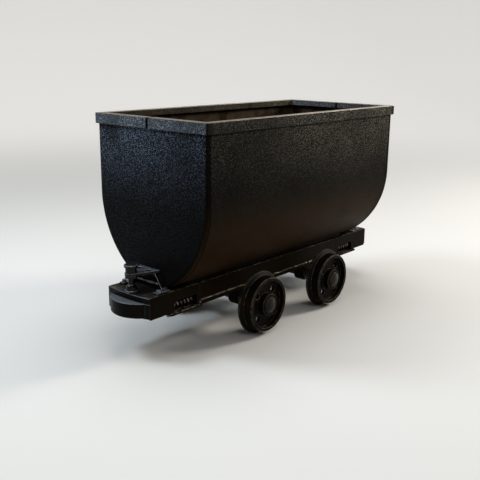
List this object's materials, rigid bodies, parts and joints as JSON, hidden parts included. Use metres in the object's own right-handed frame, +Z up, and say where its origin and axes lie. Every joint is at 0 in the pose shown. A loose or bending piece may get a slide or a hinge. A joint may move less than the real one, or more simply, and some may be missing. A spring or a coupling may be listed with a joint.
{
  "type": "side-tipping mine car",
  "caption": "Narrow-track ore cart: a round-bottomed plate tub, hinged to tip sideways, on a two-sill frame with flanged wheels, bowed bumpers and coupling posts.",
  "frame": {"origin": "midway between the axles on the centre line, level with the lowest points of the wheel flanges", "axes": "+X along the rails towards the rear end, +Y across them towards the hinge side, +Z up"},
  "size_m": [2.076, 0.79, 1.162],
  "materials": {
    "tub_paint": "hammered near-black paint",
    "rim_paint": "near-black paint, worn along its top edges",
    "frame_paint": "dusty near-black paint",
    "gear_steel": "glossy black paint on forged coupling gear",
    "wheel_iron": "dark cast wheel, bright on the tread",
    "axle_steel": "greasy dark steel",
    "cap_steel": "brownish worn cap",
    "spring_steel": "oily dark spring steel",
    "pin_steel": "worn steel"
  },
  "bodies": {
    "frame": {"axle_boxes_front": "frame_paint", "axle_boxes_rear": "frame_paint", "buffer_rods_front": "spring_steel", "buffer_rods_rear": "spring_steel", "buffer_springs_front": "spring_steel", "buffer_springs_rear": "spring_steel", "bumper_front": "frame_paint", "bumper_rear": "frame_paint", "coupling_bar_front": "pin_steel", "coupling_bar_rear": "pin_steel", "coupling_hood_front": "gear_steel", "coupling_hood_rear": "gear_steel", "coupling_plate_front": "gear_steel", "coupling_plate_rear": "gear_steel", "coupling_post_front": "gear_steel", "coupling_post_rear": "gear_steel", "deck_front": "frame_paint", "deck_rear": "frame_paint", "end_cheeks_front": "frame_paint", "end_cheeks_rear": "frame_paint", "hinge_brackets": "frame_paint", "hinge_pins": "pin_steel", "sill_far": "frame_paint", "sill_near": "frame_paint", "spring_keepers_front": "pin_steel", "spring_keepers_rear": "pin_steel", "transoms": "frame_paint"},
    "tub": {"tub_wrap": "tub_paint", "tub_end_front": "tub_paint", "tub_end_rear": "tub_paint", "tub_rim_near": "rim_paint", "tub_rim_far": "rim_paint", "tub_saddles_near": "tub_paint", "tub_saddles_far": "tub_paint", "tub_hinge_lugs": "tub_paint"},
    "wheelset_front": {"axle_front": "axle_steel", "wheel_front_near": "wheel_iron", "wheel_front_far": "wheel_iron", "hub_cap_front_near": "cap_steel", "hub_cap_front_far": "cap_steel"},
    "wheelset_rear": {"axle_rear": "axle_steel", "wheel_rear_near": "wheel_iron", "wheel_rear_far": "wheel_iron", "hub_cap_rear_near": "cap_steel", "hub_cap_rear_far": "cap_steel"}
  },
  "joints": [
    {"name": "tub_tip", "type": "hinge", "parent": "frame", "child": "tub", "pos_m": [0, 0.205, 0.345], "axis": [-1, 0, 0], "range_deg": [0, 45]},
    {"name": "wheelset_front_roll", "type": "hinge", "parent": "frame", "child": "wheelset_front", "pos_m": [-0.3, 0, 0.17], "axis": [0, 1, 0], "continuous": true},
    {"name": "wheelset_rear_roll", "type": "hinge", "parent": "frame", "child": "wheelset_rear", "pos_m": [0.3, 0, 0.17], "axis": [0, 1, 0], "continuous": true}
  ]
}
